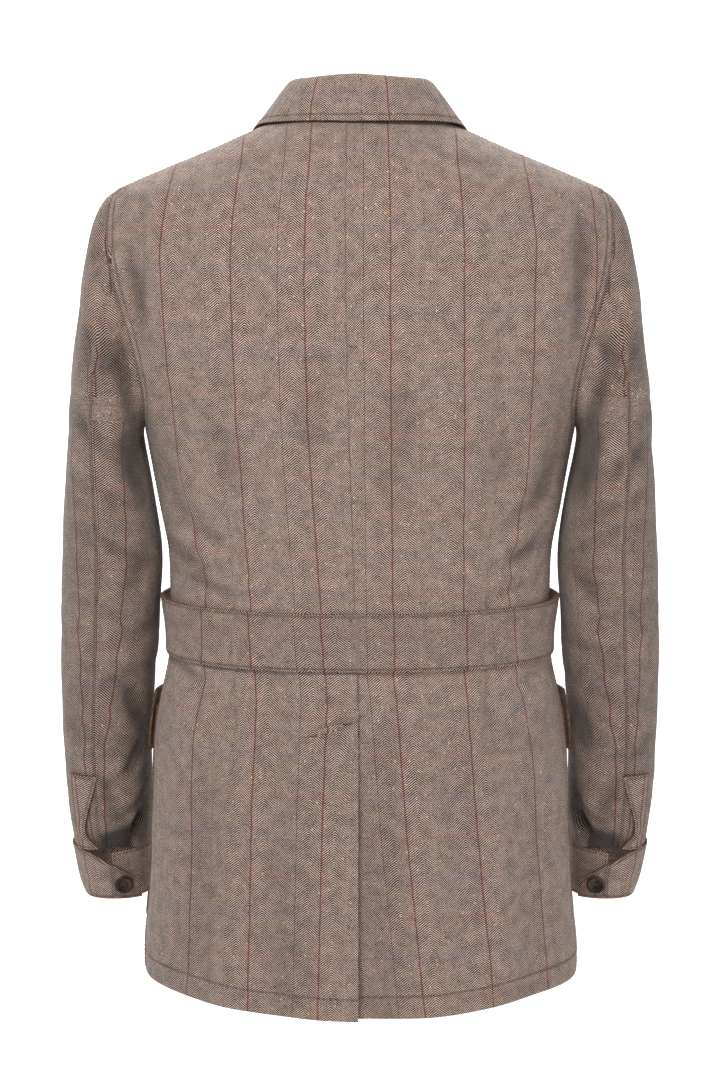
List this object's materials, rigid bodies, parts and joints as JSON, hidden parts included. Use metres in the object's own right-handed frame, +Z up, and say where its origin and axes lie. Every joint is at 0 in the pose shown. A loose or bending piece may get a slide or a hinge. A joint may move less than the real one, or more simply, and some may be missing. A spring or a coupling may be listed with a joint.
{
  "type": "safari jacket",
  "caption": "Belted safari jacket in herringbone tweed with a turn-down collar, flapped patch pockets, buttoned cuffs and a centre back vent, in its worn, hollow form.",
  "frame": {"origin": "midway between the shoulder seams at the base of the neck, where the jacket rests on its wearer's shoulders", "axes": "+Z up along the centre back, the front faces -Y, the wearer's left is +X"},
  "size_m": [0.5332, 0.2652, 0.7911],
  "materials": {
    "tweed": "matte woollen herringbone tweed",
    "horn": "polished dark horn, satin"
  },
  "bodies": {
    "root": {"back_left": "tweed", "back_right": "tweed", "front_left": "tweed", "front_right": "tweed", "sleeve_top_left": "tweed", "sleeve_top_right": "tweed", "sleeve_under_left": "tweed", "sleeve_under_right": "tweed", "sleeve_placket_left": "tweed", "sleeve_placket_right": "tweed", "cuff_left": "tweed", "cuff_right": "tweed", "lapel_left": "tweed", "lapel_right": "tweed", "lower_pocket_left": "tweed", "lower_pocket_right": "tweed", "chest_pocket_left": "tweed", "chest_pocket_right": "tweed", "lower_flap_left": "tweed", "lower_flap_right": "tweed", "chest_flap_left": "tweed", "chest_flap_right": "tweed", "collar_stand": "tweed", "collar_fall": "tweed", "belt_back": "tweed", "belt_front_left": "tweed", "belt_front_right": "tweed", "cuff_button_left": "horn", "cuff_button_right": "horn", "lower_flap_button_left": "horn", "lower_flap_button_right": "horn", "chest_flap_button_left": "horn", "chest_flap_button_right": "horn", "front_button_1": "horn", "front_button_2": "horn", "front_button_3": "horn", "front_button_4": "horn", "belt_button": "horn"}
  },
  "joints": []
}
